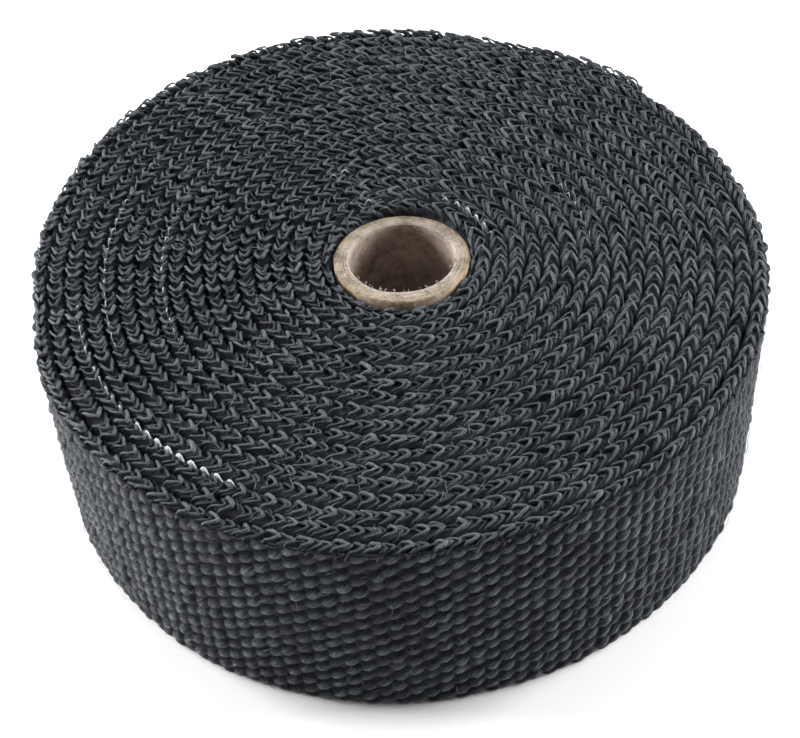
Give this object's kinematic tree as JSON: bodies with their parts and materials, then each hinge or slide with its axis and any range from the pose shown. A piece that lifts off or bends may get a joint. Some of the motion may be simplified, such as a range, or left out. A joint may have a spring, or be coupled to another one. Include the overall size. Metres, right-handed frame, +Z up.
{
  "type": "exhaust heat wrap roll",
  "caption": "Roll of dark woven glass-fibre exhaust heat wrap tape, wound in a spiral on a short kraft paper core and standing on its edge face.",
  "frame": {"origin": "centre of the roll's underside, on the axis of the core's bore, in the plane that the roll stands on", "axes": "+Z up along the axis of the bore, which is also the width of the tape; X and Y lie in the plane of the winding"},
  "size_m": [0.1486, 0.1486, 0.05],
  "materials": {
    "woven_glass_tape": "charcoal texturised glass yarn, matte with a faint fibre sheen",
    "kraft_core": "uncoated spirally wound kraft board, matte, cut ends fuzzy"
  },
  "bodies": {
    "root": {"tape_roll": "woven_glass_tape", "core_tube": "kraft_core"}
  },
  "joints": []
}
